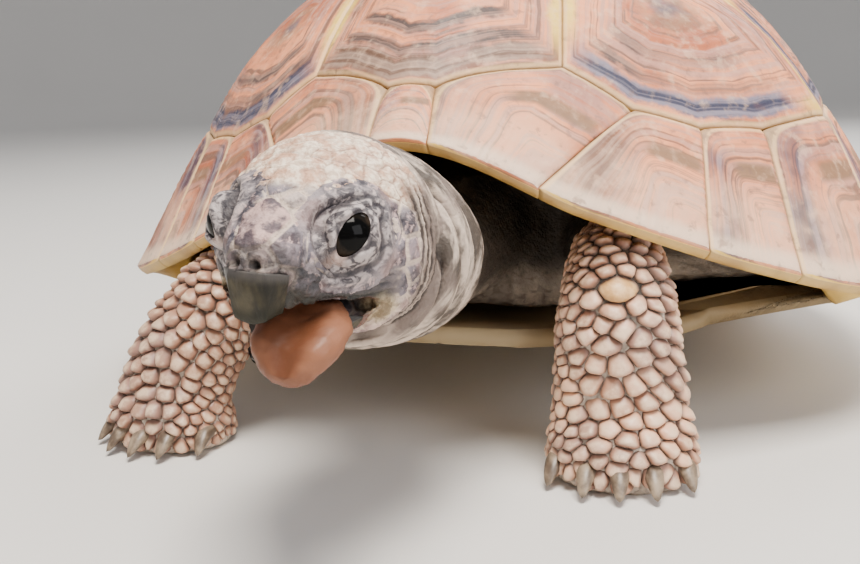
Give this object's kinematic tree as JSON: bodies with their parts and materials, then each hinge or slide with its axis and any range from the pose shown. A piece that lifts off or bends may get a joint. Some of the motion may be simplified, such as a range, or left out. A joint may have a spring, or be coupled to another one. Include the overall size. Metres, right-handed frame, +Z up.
{
  "type": "tortoise",
  "caption": "Still, life-size model of an adult Hermann's tortoise, standing with its head out and its mouth open.",
  "frame": {"origin": "on the floor under the middle of the model's box", "axes": "-Y is ahead, the way the tortoise looks; +X is its left; +Z is up"},
  "size_m": [0.152, 0.2142, 0.0922],
  "materials": {
    "carapace_horn": "dry horn, pale tan with grey-blue growth bands, satin",
    "plastron_horn": "dry straw-yellow horn with dark patches, satin",
    "skin": "dry grey skin with fine scales, matt",
    "leg_scale": "domed tan scales over grey-brown skin, matt",
    "dark_horn": "olive-brown horn of beak and claws, satin",
    "eye": "wet, glossy black",
    "tongue": "wet pink flesh"
  },
  "bodies": {
    "root": {"beak_upper": "dark_horn", "costal_left_1": "carapace_horn", "costal_left_2": "carapace_horn", "costal_left_3": "carapace_horn", "costal_left_4": "carapace_horn", "costal_right_1": "carapace_horn", "costal_right_2": "carapace_horn", "costal_right_3": "carapace_horn", "costal_right_4": "carapace_horn", "eye_left": "eye", "eye_right": "eye", "foreleg_left": "leg_scale", "foreleg_right": "leg_scale", "head": "skin", "hindleg_left": "leg_scale", "hindleg_right": "leg_scale", "jaw_lower": "skin", "marginal_left_1": "carapace_horn", "marginal_left_10": "carapace_horn", "marginal_left_11": "carapace_horn", "marginal_left_2": "carapace_horn", "marginal_left_3": "carapace_horn", "marginal_left_4": "carapace_horn", "marginal_left_5": "carapace_horn", "marginal_left_6": "carapace_horn", "marginal_left_7": "carapace_horn", "marginal_left_8": "carapace_horn", "marginal_left_9": "carapace_horn", "marginal_right_1": "carapace_horn", "marginal_right_10": "carapace_horn", "marginal_right_11": "carapace_horn", "marginal_right_2": "carapace_horn", "marginal_right_3": "carapace_horn", "marginal_right_4": "carapace_horn", "marginal_right_5": "carapace_horn", "marginal_right_6": "carapace_horn", "marginal_right_7": "carapace_horn", "marginal_right_8": "carapace_horn", "marginal_right_9": "carapace_horn", "neck": "skin", "nuchal": "carapace_horn", "plastron_abdominal": "plastron_horn", "plastron_anal": "plastron_horn", "plastron_femoral": "plastron_horn", "plastron_gular": "plastron_horn", "plastron_humeral": "plastron_horn", "plastron_pectoral": "plastron_horn", "supracaudal_left": "carapace_horn", "supracaudal_right": "carapace_horn", "tail": "leg_scale", "tongue": "tongue", "trunk": "skin", "vertebral_1": "carapace_horn", "vertebral_2": "carapace_horn", "vertebral_3": "carapace_horn", "vertebral_4": "carapace_horn", "vertebral_5": "carapace_horn"}
  },
  "joints": []
}
